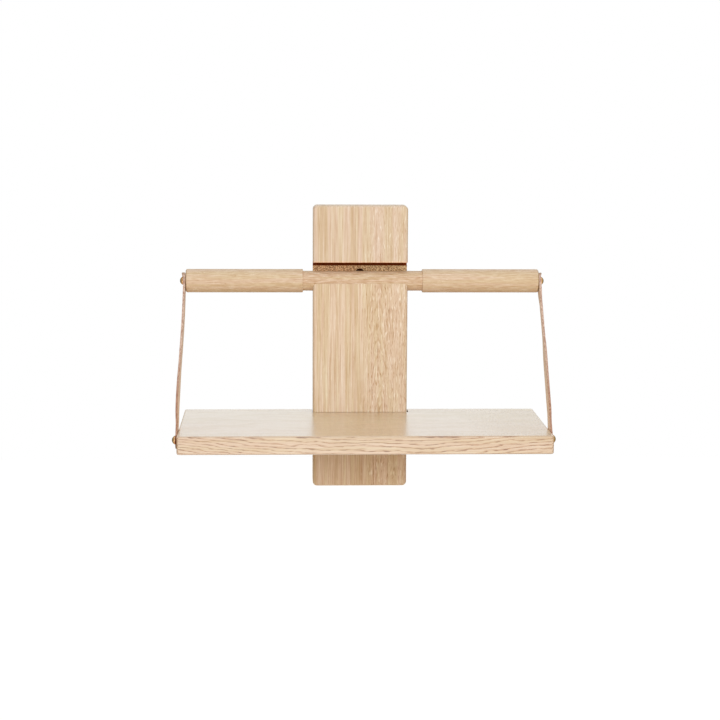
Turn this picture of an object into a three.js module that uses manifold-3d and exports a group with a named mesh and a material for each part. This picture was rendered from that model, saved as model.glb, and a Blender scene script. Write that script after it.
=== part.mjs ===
// A hanging wall shelf of pale oak. A back board is fixed to the wall. A turned rod lies loose in a groove across it,
// two flat leather straps hang from the rod's ends, and a shelf notched around the board hangs in the straps, with
// its rear edge in a shallow housing. Millimetres, +Z up, the wall is the plane Y = 0 and the shelf reaches to -Y.
// The origin is the centre of the board's back face.

import * as THREE from 'three';
import { mergeVertices } from 'three/addons/utils/BufferGeometryUtils.js';
import Module from 'manifold-3d';

const wasm = await Module();
wasm.setup();

// Fits
const FIT_GAP = 0.3; // between pieces that touch
const CUT_OVERRUN = 4; // how far a cutting body runs past what it cuts

// Back board
const BOARD_WIDTH = 107;
const BOARD_HEIGHT = 320;
const BOARD_CORNER_RADIUS = 5; // seen from the front
const BOARD_EDGE_ROUND = 3; // along the front edges
const SEAT_WEB = 2.3; // wood left behind the rod's seat

// Groove for the rod
const ROD_AXIS_HEIGHT = 234.5; // above the board's lower end
const GROOVE_HEADROOM = 10.3; // from the top of the rod to the groove's ceiling
const GROOVE_LEAN_DEG = 25; // of the groove's back wall from upright

// Rod
const ROD_SHORTER = 1; // than the shelf is wide
const ROD_NECK_DIAMETER = 22.4; // the thinner middle, which lies in the groove
const ROD_SHOULDER = 2; // how much the ends stand out from the neck
const ROD_NECK_MARGIN = 14; // neck showing on each side of the board
const ROD_END_ROUND = 1.5;
const ROD_SHOULDER_ROUND = 0.9;
const ROD_OFFSET = 2.8; // the rod has slid this far to the right in its groove

// Shelf board
const SHELF_WIDTH = 400;
const SHELF_DEPTH = 180;
const SHELF_THICKNESS = 20;
const SHELF_TOP_HEIGHT = 85.5; // above the board's lower end
const SHELF_EDGE_ROUND = 2;
const SHELF_CORNER_RADIUS = 3; // seen from above
const SHELF_WALL_GAP = 1; // between the rear edge and the wall
const SHELF_OFFSET = 0.4; // the shelf hangs this far to the right
const NOTCH_SIDE_GAP = 1; // beside the board
const HOUSING_DEPTH = 2.3; // of the slot in the board that the notch's edge rests in
const HOUSING_CHAMFER = 0.7; // on the slot's upper edge

// Holes for the two screws that hold the board to the wall
const WALL_HOLE_DIAMETER = 5;
const WALL_HEAD_DIAMETER = 10.4;
const WALL_HOLE_RISE = 7.6; // of the upper hole above the rod's axis
const UPPER_HEAD_FLOOR = 2; // wood left under the upper screw's head
const LOWER_HEAD_DEPTH = 6; // from the slot's floor

// Straps
const STRAP_WIDTH = 17;
const STRAP_THICKNESS = 2.4;
const STRAP_END_EXTRA = 1; // from the screw to the centre of the rounded end
const STRAP_FLAT = 30; // straight stretch from each screw before the strap bends
const STRAP_TIP_FLARE = 1.2; // how far the upper tip stands off
const FLARE_MIDDLE_SHARE = 0.35; // of the flare, halfway along the tip
const STRAP_SCREW_SETBACK = 36; // of the lower screws behind the shelf's front edge

// Dome-head screws
const SCREW_HEAD_DIAMETER = 9.4;
const SCREW_HEAD_RIM = 0.5; // upright edge under the dome
const SCREW_DOME = 3.2;
const SCREW_SHANK_DIAMETER = 4;
const SCREW_REACH = 12; // of the shank into its insert
const SCREW_POINT = 0.8; // chamfer at the shank's end
const SLOT_WIDTH = 1.1;
const SLOT_DEPTH = 1.4;

// Threaded inserts
const INSERT_DIAMETER = 8;
const INSERT_LENGTH = 14;
const INSERT_SUNK = 0.6; // below the wood's end face
const INSERT_BORE_EDGE = 0.4; // chamfer at the mouth of the bore

// How finely the round stretches are drawn
const RING_STEPS = 48;
const SMALL_RING_STEPS = 24;
const DOME_STEPS = 6;
const ARC_STEPS = 4;
const SEAT_ARC_STEPS = 16;
const BEND_STEPS = 12;

// Sizes and places that follow
const half = (size) => size / 2;
const ROD_LENGTH = SHELF_WIDTH - ROD_SHORTER;
const NECK_RADIUS = half(ROD_NECK_DIAMETER);
const END_RADIUS = NECK_RADIUS + ROD_SHOULDER;
const SEAT_RADIUS = NECK_RADIUS + FIT_GAP;
const BOARD_THICKNESS = SEAT_WEB + FIT_GAP + ROD_NECK_DIAMETER; // the rod lies flush with the face
const BOARD_FACE_Y = -BOARD_THICKNESS;
const ROD_Y = BOARD_FACE_Y + NECK_RADIUS;
const ROD_Z = ROD_AXIS_HEIGHT - half(BOARD_HEIGHT);
const GROOVE_CEILING_Z = ROD_Z + NECK_RADIUS + GROOVE_HEADROOM;
const GROOVE_LEAN = THREE.MathUtils.degToRad(GROOVE_LEAN_DEG);
const ROD_NECK_LENGTH = BOARD_WIDTH + ROD_NECK_MARGIN + ROD_NECK_MARGIN;

const HOUSING_FLOOR_Y = BOARD_FACE_Y + HOUSING_DEPTH;
const NOTCH_Y = HOUSING_FLOOR_Y - FIT_GAP;
const NOTCH_WIDTH = BOARD_WIDTH + NOTCH_SIDE_GAP + NOTCH_SIDE_GAP;
const SHELF_REAR_Y = -SHELF_WALL_GAP;
const SHELF_FRONT_Y = SHELF_REAR_Y - SHELF_DEPTH;
const SHELF_TOP_Z = SHELF_TOP_HEIGHT - half(BOARD_HEIGHT);
const SHELF_MIDDLE_Z = SHELF_TOP_Z - half(SHELF_THICKNESS);

const LOWER_SCREW_Y = SHELF_FRONT_Y + STRAP_SCREW_SETBACK;
const STRAP_RUN = Math.hypot(ROD_Y - LOWER_SCREW_Y, ROD_Z - SHELF_MIDDLE_Z); // between the two screws
const STRAP_TILT = Math.atan2(ROD_Y - LOWER_SCREW_Y, ROD_Z - SHELF_MIDDLE_Z); // from upright
const HEAD_SEAT = FIT_GAP + STRAP_THICKNESS + FIT_GAP; // from the wood's end face to the screw head
const SHANK_HOLE_RADIUS = half(SCREW_SHANK_DIAMETER) + FIT_GAP;
const INSERT_HOLE_RADIUS = half(INSERT_DIAMETER) + FIT_GAP;
const INSERT_HOLE_DEPTH = INSERT_SUNK + INSERT_LENGTH + FIT_GAP;

// Turns a closed three.js geometry into a solid that can be cut.
function solidOf(geometry) {
  const bare = geometry.clone();
  bare.deleteAttribute('normal');
  bare.deleteAttribute('uv');
  const merged = mergeVertices(bare);
  const corners = [];
  for (let i = 0; i < merged.index.count; i += 3) {
    const [a, b, c] = [merged.index.getX(i), merged.index.getX(i + 1), merged.index.getX(i + 2)];
    if (a !== b && b !== c && c !== a) corners.push(a, b, c);
  }
  return new wasm.Manifold(
    new wasm.Mesh({
      numProp: 3,
      vertProperties: new Float32Array(merged.attributes.position.array),
      triVerts: new Uint32Array(corners),
    }),
  );
}

// Turns a cut solid back into a geometry.
function geometryOf(solid) {
  const mesh = solid.getMesh();
  const geometry = new THREE.BufferGeometry();
  geometry.setAttribute('position', new THREE.BufferAttribute(mesh.vertProperties, 3));
  geometry.setIndex(new THREE.BufferAttribute(mesh.triVerts, 1));
  geometry.computeVertexNormals();
  return geometry;
}

const X_AXIS = new THREE.Vector3(1, 0, 0);
const Y_AXIS = new THREE.Vector3(0, 1, 0);
const Z_AXIS = new THREE.Vector3(0, 0, 1);
const FORWARD = new THREE.Vector3(0, -1, 0);

// Which way a drawn shape's x, its y and its extrusion point in the part
const FRONT_VIEW = new THREE.Matrix4().makeBasis(X_AXIS, Z_AXIS, FORWARD);
const SIDE_VIEW = new THREE.Matrix4().makeBasis(Y_AXIS, Z_AXIS, X_AXIS);

// A rectangle with rounded corners, drawn about its middle.
function roundedRectangle(width, height, radius) {
  const [x, y] = [half(width), half(height)];
  const shape = new THREE.Shape();
  shape.absarc(x - radius, y - radius, radius, 0, half(Math.PI));
  shape.absarc(radius - x, y - radius, radius, half(Math.PI), Math.PI);
  shape.absarc(radius - x, radius - y, radius, Math.PI, 1.5 * Math.PI);
  shape.absarc(x - radius, radius - y, radius, 1.5 * Math.PI, 2 * Math.PI);
  return shape;
}

// A plate of the outline's full size whose two faces have rounded edges.
function roundedPlate(shape, thickness, round) {
  return new THREE.ExtrudeGeometry(shape, {
    depth: thickness - round - round,
    bevelThickness: round,
    bevelSize: round,
    bevelOffset: -round,
    bevelSegments: ARC_STEPS,
    curveSegments: ARC_STEPS,
  }).translate(0, 0, round);
}

// A body that runs the whole width of the board and past its sides, of a section drawn in Y and Z.
function crossCut(shape) {
  const length = BOARD_WIDTH + CUT_OVERRUN + CUT_OVERRUN;
  const body = new THREE.ExtrudeGeometry(shape, {
    depth: length,
    bevelEnabled: false,
    curveSegments: SEAT_ARC_STEPS,
  }).translate(0, 0, -half(length));
  return solidOf(body.applyMatrix4(SIDE_VIEW));
}

// A drill along Y, from one depth to another.
function drill(diameter, fromY, toY, z) {
  const length = Math.abs(toY - fromY);
  const bit = new THREE.CylinderGeometry(half(diameter), half(diameter), length, SMALL_RING_STEPS);
  return solidOf(bit.translate(0, half(fromY + toY), z));
}

// Back board

function grooveSection() {
  const lipDrop = Math.sqrt(SEAT_RADIUS ** 2 - (ROD_Y - BOARD_FACE_Y) ** 2);
  const lipAngle = Math.atan2(-lipDrop, BOARD_FACE_Y - ROD_Y) + 2 * Math.PI;
  const wallAngle = GROOVE_LEAN + 2 * Math.PI;
  const wallStart = new THREE.Vector2(Math.cos(wallAngle), Math.sin(wallAngle))
    .multiplyScalar(SEAT_RADIUS)
    .add(new THREE.Vector2(ROD_Y, ROD_Z));
  const wallTopY = wallStart.x - (GROOVE_CEILING_Z - wallStart.y) * Math.tan(GROOVE_LEAN);
  const shape = new THREE.Shape();
  shape.moveTo(BOARD_FACE_Y - CUT_OVERRUN, GROOVE_CEILING_Z);
  shape.lineTo(BOARD_FACE_Y - CUT_OVERRUN, ROD_Z - lipDrop);
  shape.absarc(ROD_Y, ROD_Z, SEAT_RADIUS, lipAngle, wallAngle);
  shape.lineTo(wallTopY, GROOVE_CEILING_Z);
  return shape;
}

function housingSection() {
  const top = SHELF_TOP_Z + FIT_GAP;
  const bottom = SHELF_TOP_Z - SHELF_THICKNESS - FIT_GAP;
  const shape = new THREE.Shape();
  shape.moveTo(HOUSING_FLOOR_Y, bottom);
  shape.lineTo(HOUSING_FLOOR_Y, top);
  shape.lineTo(BOARD_FACE_Y + HOUSING_CHAMFER, top);
  shape.lineTo(BOARD_FACE_Y - CUT_OVERRUN, top + HOUSING_CHAMFER + CUT_OVERRUN);
  shape.lineTo(BOARD_FACE_Y - CUT_OVERRUN, bottom);
  return shape;
}

function backBoard() {
  const outline = roundedRectangle(BOARD_WIDTH, BOARD_HEIGHT, BOARD_CORNER_RADIUS);
  const thick = roundedPlate(outline, BOARD_THICKNESS + BOARD_EDGE_ROUND, BOARD_EDGE_ROUND);
  const board = solidOf(thick.translate(0, 0, -BOARD_EDGE_ROUND).applyMatrix4(FRONT_VIEW));
  const behind = new THREE.BoxGeometry(
    BOARD_WIDTH + CUT_OVERRUN,
    BOARD_EDGE_ROUND + CUT_OVERRUN,
    BOARD_HEIGHT + CUT_OVERRUN,
  ).translate(0, half(BOARD_EDGE_ROUND + CUT_OVERRUN), 0);
  const upperZ = ROD_Z + WALL_HOLE_RISE;
  const headFloorY = HOUSING_FLOOR_Y + LOWER_HEAD_DEPTH;
  const cuts = [
    solidOf(behind),
    crossCut(grooveSection()),
    crossCut(housingSection()),
    drill(WALL_HOLE_DIAMETER, ROD_Y, CUT_OVERRUN, upperZ),
    drill(WALL_HEAD_DIAMETER, ROD_Y, -UPPER_HEAD_FLOOR, upperZ),
    drill(WALL_HOLE_DIAMETER, BOARD_FACE_Y, CUT_OVERRUN, SHELF_MIDDLE_Z),
    drill(WALL_HEAD_DIAMETER, BOARD_FACE_Y, headFloorY, SHELF_MIDDLE_Z),
  ];
  return geometryOf(cuts.reduce((left, cut) => left.subtract(cut), board));
}

// Turned pieces: each is drawn as points of (radius, place along its axis) and its axis runs along +X

function turned(points, steps) {
  return geometryOf(solidOf(new THREE.LatheGeometry(points, steps).rotateZ(-half(Math.PI))));
}

// Points of a quarter circle about a centre, from one angle to another in quarter turns.
function quarter(centreRadius, centrePlace, round, fromQuarter, toQuarter) {
  const points = [];
  for (let i = 0; i <= ARC_STEPS; i += 1) {
    const angle = half(Math.PI) * (fromQuarter + ((toQuarter - fromQuarter) * i) / ARC_STEPS);
    points.push(
      new THREE.Vector2(centreRadius + round * Math.cos(angle), centrePlace + round * Math.sin(angle)),
    );
  }
  return points;
}

function hangerRod() {
  const end = half(ROD_LENGTH);
  const neck = half(ROD_NECK_LENGTH);
  const endRound = [END_RADIUS - ROD_END_ROUND, end - ROD_END_ROUND, ROD_END_ROUND];
  const shoulderRound = [END_RADIUS - ROD_SHOULDER_ROUND, neck + ROD_SHOULDER_ROUND, ROD_SHOULDER_ROUND];
  const rightHalf = [
    new THREE.Vector2(NECK_RADIUS, neck),
    ...quarter(...shoulderRound, -1, 0),
    ...quarter(...endRound, 0, 1),
    new THREE.Vector2(INSERT_HOLE_RADIUS, end),
    new THREE.Vector2(INSERT_HOLE_RADIUS, end - INSERT_HOLE_DEPTH),
    new THREE.Vector2(0, end - INSERT_HOLE_DEPTH),
  ];
  const leftHalf = rightHalf.map((point) => new THREE.Vector2(point.x, -point.y)).reverse();
  return turned([...leftHalf, ...rightHalf], RING_STEPS);
}

// The head's seat is at place 0 and the shank points to -X.
function domeScrew() {
  const headRadius = half(SCREW_HEAD_DIAMETER);
  const shankRadius = half(SCREW_SHANK_DIAMETER);
  const tip = -HEAD_SEAT - INSERT_SUNK - SCREW_REACH;
  const domeRadius = (headRadius ** 2 + SCREW_DOME ** 2) / (2 * SCREW_DOME);
  const domeAngle = Math.asin(headRadius / domeRadius);
  const centre = SCREW_HEAD_RIM + SCREW_DOME - domeRadius;
  const points = [
    new THREE.Vector2(0, tip),
    new THREE.Vector2(shankRadius - SCREW_POINT, tip),
    new THREE.Vector2(shankRadius, tip + SCREW_POINT),
    new THREE.Vector2(shankRadius, 0),
    new THREE.Vector2(headRadius, 0),
  ];
  for (let i = 0; i < DOME_STEPS; i += 1) {
    const angle = domeAngle * (1 - i / DOME_STEPS);
    points.push(new THREE.Vector2(domeRadius * Math.sin(angle), centre + domeRadius * Math.cos(angle)));
  }
  points.push(new THREE.Vector2(0, SCREW_HEAD_RIM + SCREW_DOME));
  const blank = solidOf(new THREE.LatheGeometry(points, SMALL_RING_STEPS).rotateZ(-half(Math.PI)));
  const slotHeight = SLOT_DEPTH + CUT_OVERRUN;
  const slot = new THREE.BoxGeometry(slotHeight, SCREW_HEAD_DIAMETER + CUT_OVERRUN, SLOT_WIDTH).translate(
    SCREW_HEAD_RIM + SCREW_DOME - SLOT_DEPTH + half(slotHeight),
    0,
    0,
  );
  return geometryOf(blank.subtract(solidOf(slot)));
}

// The mouth is at place 0 and the sleeve runs to -X.
function threadedInsert() {
  const outer = half(INSERT_DIAMETER);
  const bore = SHANK_HOLE_RADIUS;
  return turned(
    [
      new THREE.Vector2(bore, -INSERT_LENGTH),
      new THREE.Vector2(outer, -INSERT_LENGTH),
      new THREE.Vector2(outer, 0),
      new THREE.Vector2(bore + INSERT_BORE_EDGE, 0),
      new THREE.Vector2(bore, -INSERT_BORE_EDGE),
      new THREE.Vector2(bore, -INSERT_LENGTH),
    ],
    SMALL_RING_STEPS,
  );
}

// Shelf board

function shelfOutline() {
  const [side, notchSide] = [half(SHELF_WIDTH), half(NOTCH_WIDTH)];
  const [left, right] = [SHELF_OFFSET - side, SHELF_OFFSET + side];
  const r = SHELF_CORNER_RADIUS;
  const shape = new THREE.Shape();
  shape.absarc(left + r, SHELF_FRONT_Y + r, r, Math.PI, 1.5 * Math.PI);
  shape.absarc(right - r, SHELF_FRONT_Y + r, r, 1.5 * Math.PI, 2 * Math.PI);
  shape.absarc(right - r, SHELF_REAR_Y - r, r, 0, half(Math.PI));
  shape.absarc(SHELF_OFFSET + notchSide + r, SHELF_REAR_Y - r, r, half(Math.PI), Math.PI);
  shape.lineTo(SHELF_OFFSET + notchSide, NOTCH_Y);
  shape.lineTo(SHELF_OFFSET - notchSide, NOTCH_Y);
  shape.absarc(SHELF_OFFSET - notchSide - r, SHELF_REAR_Y - r, r, 0, half(Math.PI));
  shape.absarc(left + r, SHELF_REAR_Y - r, r, half(Math.PI), Math.PI);
  return shape;
}

function shelfBoard() {
  const plate = roundedPlate(shelfOutline(), SHELF_THICKNESS, SHELF_EDGE_ROUND);
  let shelf = solidOf(plate.translate(0, 0, SHELF_TOP_Z - SHELF_THICKNESS));
  for (const side of [-1, 1]) {
    const length = INSERT_HOLE_DEPTH + CUT_OVERRUN;
    const bit = new THREE.CylinderGeometry(INSERT_HOLE_RADIUS, INSERT_HOLE_RADIUS, length, SMALL_RING_STEPS);
    const middle = half(SHELF_WIDTH) - INSERT_HOLE_DEPTH + half(length);
    bit.rotateZ(half(Math.PI)).translate(SHELF_OFFSET + side * middle, LOWER_SCREW_Y, SHELF_MIDDLE_Z);
    shelf = shelf.subtract(solidOf(bit));
  }
  return geometryOf(shelf);
}

// A strap is drawn upright, with its upper screw at the origin, its width along Y and its outer face away from
// the shelf's middle. It stands FIT_GAP off the rod's end, and bends on its way down by drift.

function strapSideView(side, drift) {
  const tip = half(STRAP_WIDTH) + STRAP_END_EXTRA;
  const flareStart = half(SCREW_HEAD_DIAMETER) + FIT_GAP;
  const bendLength = STRAP_RUN - STRAP_FLAT - STRAP_FLAT;
  const inner = [
    [tip, side * STRAP_TIP_FLARE],
    [half(tip + flareStart), side * STRAP_TIP_FLARE * FLARE_MIDDLE_SHARE],
    [flareStart, 0],
  ];
  for (let i = 0; i <= BEND_STEPS; i += 1) {
    const share = i / BEND_STEPS;
    inner.push([-STRAP_FLAT - bendLength * share, drift * THREE.MathUtils.smoothstep(share, 0, 1)]);
  }
  inner.push([-STRAP_RUN - tip, drift]);
  const near = inner.map(([z, x]) => new THREE.Vector2(side * FIT_GAP + x, z));
  const far = near.map((point) => new THREE.Vector2(point.x + side * STRAP_THICKNESS, point.y)).reverse();
  return new THREE.Shape([...near, ...far]);
}

function strap(side, drift) {
  const width = STRAP_WIDTH + CUT_OVERRUN;
  const ribbon = new THREE.ExtrudeGeometry(strapSideView(side, drift), { depth: width, bevelEnabled: false })
    .translate(0, 0, -half(width))
    .applyMatrix4(FRONT_VIEW);
  const radius = half(STRAP_WIDTH);
  const reach = FIT_GAP + STRAP_THICKNESS + STRAP_TIP_FLARE + Math.abs(drift) + CUT_OVERRUN;
  const outline = new THREE.Shape();
  outline.absarc(0, STRAP_END_EXTRA, radius, 0, Math.PI);
  outline.absarc(0, -STRAP_RUN - STRAP_END_EXTRA, radius, Math.PI, 2 * Math.PI);
  const cutter = new THREE.ExtrudeGeometry(outline, {
    depth: reach + reach,
    bevelEnabled: false,
    curveSegments: SEAT_ARC_STEPS,
  })
    .translate(0, 0, -reach)
    .applyMatrix4(SIDE_VIEW);
  let body = solidOf(ribbon).intersect(solidOf(cutter));
  for (const z of [0, -STRAP_RUN]) {
    const bit = new THREE.CylinderGeometry(SHANK_HOLE_RADIUS, SHANK_HOLE_RADIUS, reach + reach, SMALL_RING_STEPS);
    body = body.subtract(solidOf(bit.rotateZ(half(Math.PI)).translate(0, 0, z)));
  }
  return geometryOf(body);
}

// Finishes
const OAK_BOARD = { color: 0xdfc4a3, roughness: 0.6, metalness: 0 };
const OAK_ROD = { color: 0xdcbe9b, roughness: 0.55, metalness: 0 };
const OAK_SHELF = { color: 0xd9c3a3, roughness: 0.5, metalness: 0 };
const LEATHER = { color: 0xbf9877, roughness: 0.75, metalness: 0 };
const BRASS = { color: 0xc39a4f, roughness: 0.25, metalness: 1 };
const INSERT_BRASS = { color: 0xb59a5e, roughness: 0.4, metalness: 1 };

function piece(name, geometry, finish) {
  const mesh = new THREE.Mesh(geometry, new THREE.MeshStandardMaterial(finish));
  mesh.name = name;
  return mesh;
}

// A screw and its insert at the end of a wooden piece, pointing out to one side.
function fastener(place, side, sideName, woodEndX) {
  const group = new THREE.Group();
  const screw = piece(`${place}_screw_${sideName}`, domeScrew(), BRASS);
  screw.position.x = HEAD_SEAT;
  const insert = piece(`${place}_insert_${sideName}`, threadedInsert(), INSERT_BRASS);
  insert.position.x = -INSERT_SUNK;
  group.add(screw, insert);
  group.position.x = side * woodEndX;
  group.rotation.z = side > 0 ? 0 : Math.PI;
  return group;
}

const shelfUnit = new THREE.Group();
shelfUnit.add(piece('back_board', backBoard(), OAK_BOARD));

const rodGroup = new THREE.Group();
rodGroup.position.set(ROD_OFFSET, ROD_Y, ROD_Z);
rodGroup.add(piece('hanger_rod', hangerRod(), OAK_ROD));

const lowerGroup = new THREE.Group();
lowerGroup.position.set(SHELF_OFFSET, LOWER_SCREW_Y, SHELF_MIDDLE_Z);

for (const [side, sideName] of [[-1, 'left'], [1, 'right']]) {
  rodGroup.add(fastener('rod', side, sideName, half(ROD_LENGTH)));
  lowerGroup.add(fastener('shelf', side, sideName, half(SHELF_WIDTH)));
  const rodEndX = ROD_OFFSET + side * half(ROD_LENGTH);
  const shelfEndX = SHELF_OFFSET + side * half(SHELF_WIDTH);
  const band = piece(`strap_${sideName}`, strap(side, shelfEndX - rodEndX), LEATHER);
  band.position.set(rodEndX, ROD_Y, ROD_Z);
  band.rotation.x = -STRAP_TILT;
  shelfUnit.add(band);
}

shelfUnit.add(rodGroup, lowerGroup, piece('shelf_board', shelfBoard(), OAK_SHELF));

export default shelfUnit;
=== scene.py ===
"""Looks of a hanging wall shelf: pale oak, tan leather straps and brass dome-head screws.

Metres, +Z up. The wall is the plane Y = 0 and the shelf stands out towards -Y.
"""

import math

import bmesh
import bpy
from mathutils import Matrix, Vector


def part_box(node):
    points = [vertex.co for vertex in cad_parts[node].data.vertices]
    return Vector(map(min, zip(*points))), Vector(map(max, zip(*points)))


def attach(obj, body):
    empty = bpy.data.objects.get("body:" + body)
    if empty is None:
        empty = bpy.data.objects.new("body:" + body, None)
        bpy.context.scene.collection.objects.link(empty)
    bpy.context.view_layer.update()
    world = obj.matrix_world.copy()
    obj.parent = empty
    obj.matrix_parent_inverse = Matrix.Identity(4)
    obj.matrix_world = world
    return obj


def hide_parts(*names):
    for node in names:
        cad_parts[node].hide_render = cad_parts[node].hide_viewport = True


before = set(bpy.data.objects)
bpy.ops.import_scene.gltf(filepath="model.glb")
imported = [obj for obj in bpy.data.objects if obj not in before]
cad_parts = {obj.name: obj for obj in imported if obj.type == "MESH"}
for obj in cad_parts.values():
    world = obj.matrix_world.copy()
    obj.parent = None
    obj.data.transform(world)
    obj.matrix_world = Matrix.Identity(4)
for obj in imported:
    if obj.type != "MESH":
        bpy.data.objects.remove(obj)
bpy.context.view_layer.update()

MM = 0.001
FIT_GAP = 0.3 * MM
CUT_OVERRUN = 4 * MM
MERGE_REACH = MM / 1000

# Back board
BOARD_LOW, BOARD_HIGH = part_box("back_board")
BOARD_CORNER_RADIUS = 5 * MM
BOARD_FRONT_ROUND = 3 * MM
BOARD_BACK_ROUND = 0.4 * MM
LIP_ROUND = 0.3 * MM

# Groove for the rod
ROD_NECK_DIAMETER = 22.4 * MM
ROD_CENTRE_Z = 74.5 * MM
GROOVE_HEADROOM = 10.3 * MM
GROOVE_LEAN = math.radians(25)
SEAT_STEPS = 48
KERF_HEIGHT = 4.4 * MM
KERF_WOOD_BEHIND = 4.5 * MM

# Rod
ROD_LOW, ROD_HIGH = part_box("hanger_rod")
ROD_SHOULDER = 2 * MM
ROD_NECK_LENGTH = 135 * MM
ROD_END_ROUND = 1.8 * MM
ROD_SHOULDER_ROUND = 0.9 * MM

# Shelf board
SHELF_LOW, SHELF_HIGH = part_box("shelf_board")
SHELF_EDGE_ROUND = 2 * MM
SHELF_CORNER_RADIUS = 3 * MM
NOTCH_HALF_WIDTH = 54.5 * MM
NOTCH_INNER_RADIUS = 0.6 * MM
NOTCH_MOUTH_RADIUS = 2 * MM
NOTCH_ROUND_SHARE = 0.2
HOUSING_DEPTH = 2.3 * MM
HOUSING_GAP = 0.1 * MM
HOUSING_CHAMFER = 0.2 * MM
STRAP_SCREW_SETBACK = 36 * MM

# Holes for the wall's screws
WALL_HOLE_DIAMETER = 5 * MM
WALL_HEAD_DIAMETER = 10.4 * MM
WALL_HOLE_RISE = 7.6 * MM
UPPER_HEAD_FLOOR = 2 * MM
LOWER_HEAD_DEPTH = 6 * MM

# Straps
STRAP_WIDTH = 17 * MM
STRAP_THICKNESS = 2.4 * MM
STRAP_EDGE_ROUND = 0.45 * MM
STRAP_END_EXTRA = 1 * MM
STRAP_FLAT = 30 * MM
STRAP_PRESSED = 14 * MM
STRAP_TIP_FLARE = 2.5 * MM
FLARE_POWER = 1.5
TWIST_CHANGE_SHARE = 0.16
STRAP_SLICE = 2.5 * MM
STRAP_BENDS = {
    "left": {
        "side": -1,
        "upper_twist_deg": 0.4,
        "lower_twist_deg": 3.2,
        "twist_place_share": 0.62,
        "bow": 0.45 * MM,
        "bow_place_share": 0.8,
    },
    "right": {
        "side": 1,
        "upper_twist_deg": 5.0,
        "lower_twist_deg": -0.4,
        "twist_place_share": 0.42,
        "bow": 0.9 * MM,
        "bow_place_share": 0.82,
    },
}

# Dome-head screws and their inserts
SCREW_HEAD_DIAMETER = 9.4 * MM
SCREW_HEAD_RIM = 0.5 * MM
SCREW_RIM_ROUND = 0.2 * MM
SCREW_DOME = 3.2 * MM
SCREW_SHANK_DIAMETER = 4 * MM
SCREW_REACH = 12 * MM
SCREW_POINT = 0.8 * MM
SLOT_WIDTH = 1.1 * MM
SLOT_DEPTH = 1.4 * MM
INSERT_DIAMETER = 8 * MM
INSERT_LENGTH = 14 * MM
INSERT_SUNK = 0.6 * MM
ROD_SLOTS_SEED = 3
SHELF_SLOTS_SEED = 8

# Places that follow
BOARD_FACE_Y = BOARD_LOW.y
BOARD_CUT_LENGTH = BOARD_HIGH.x - BOARD_LOW.x + 2 * CUT_OVERRUN
NECK_RADIUS = ROD_NECK_DIAMETER / 2
SEAT_RADIUS = NECK_RADIUS + FIT_GAP
ROD_CENTRE_X = (ROD_LOW.x + ROD_HIGH.x) / 2
ROD_CENTRE_Y = BOARD_FACE_Y + NECK_RADIUS
ROD_CENTRE = (ROD_CENTRE_X, ROD_CENTRE_Y, ROD_CENTRE_Z)
ROD_HALF_LENGTH = (ROD_HIGH.x - ROD_LOW.x) / 2
GROOVE_CEILING_Z = ROD_CENTRE_Z + NECK_RADIUS + GROOVE_HEADROOM
GROOVE_FOOT_Y = ROD_CENTRE_Y + SEAT_RADIUS * math.cos(GROOVE_LEAN)
GROOVE_FOOT_Z = ROD_CENTRE_Z + SEAT_RADIUS * math.sin(GROOVE_LEAN)
KERF_FLOOR_Z = GROOVE_CEILING_Z - KERF_HEIGHT
KERF_MOUTH_Y = GROOVE_FOOT_Y - (KERF_FLOOR_Z - GROOVE_FOOT_Z) * math.tan(GROOVE_LEAN)
UPPER_HOLE_Z = ROD_CENTRE_Z + WALL_HOLE_RISE
HOUSING_FLOOR_Y = BOARD_FACE_Y + HOUSING_DEPTH
NOTCH_Y = HOUSING_FLOOR_Y - FIT_GAP
SHELF_CENTRE_X = (SHELF_LOW.x + SHELF_HIGH.x) / 2
SHELF_HALF_WIDTH = (SHELF_HIGH.x - SHELF_LOW.x) / 2
SHELF_MIDDLE_Z = (SHELF_LOW.z + SHELF_HIGH.z) / 2
LOWER_SCREW_Y = SHELF_LOW.y + STRAP_SCREW_SETBACK
STRAP_RUN = math.hypot(ROD_CENTRE_Y - LOWER_SCREW_Y, ROD_CENTRE_Z - SHELF_MIDDLE_Z)
STRAP_TILT = math.atan2(ROD_CENTRE_Y - LOWER_SCREW_Y, ROD_CENTRE_Z - SHELF_MIDDLE_Z)
STRAP_TIP = STRAP_WIDTH / 2 + STRAP_END_EXTRA
FLARE_START = SCREW_HEAD_DIAMETER / 2 + FIT_GAP
HEAD_SEAT = FIT_GAP + STRAP_THICKNESS + FIT_GAP
SHANK_HOLE_RADIUS = SCREW_SHANK_DIAMETER / 2 + FIT_GAP
INSERT_HOLE_RADIUS = INSERT_DIAMETER / 2 + FIT_GAP
INSERT_HOLE_DEPTH = INSERT_SUNK + INSERT_LENGTH + FIT_GAP

# How finely round stretches are drawn, and where shading breaks
ROUND_STEPS = 8
DOME_STEPS = 20
TURNED_STEPS = 128
SMALL_TURNED_STEPS = 64
CREASE_ANGLE = math.radians(32)
QUARTER_TURN = math.pi / 2


# Node trees


class Value:
    """A number or vector that varies. Sums and products of numbers add Math nodes to their tree."""

    def __init__(self, tree, socket):
        self.tree = tree
        self.socket = socket

    def __add__(self, other):
        return self.tree.math("ADD", self, other)

    def __sub__(self, other):
        return self.tree.math("SUBTRACT", self, other)

    def __rsub__(self, other):
        return self.tree.math("SUBTRACT", other, self)

    def __mul__(self, other):
        return self.tree.math("MULTIPLY", self, other)

    def __truediv__(self, other):
        return self.tree.math("DIVIDE", self, other)

    def __pow__(self, other):
        return self.tree.math("POWER", self, other)

    __radd__ = __add__
    __rmul__ = __mul__


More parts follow.
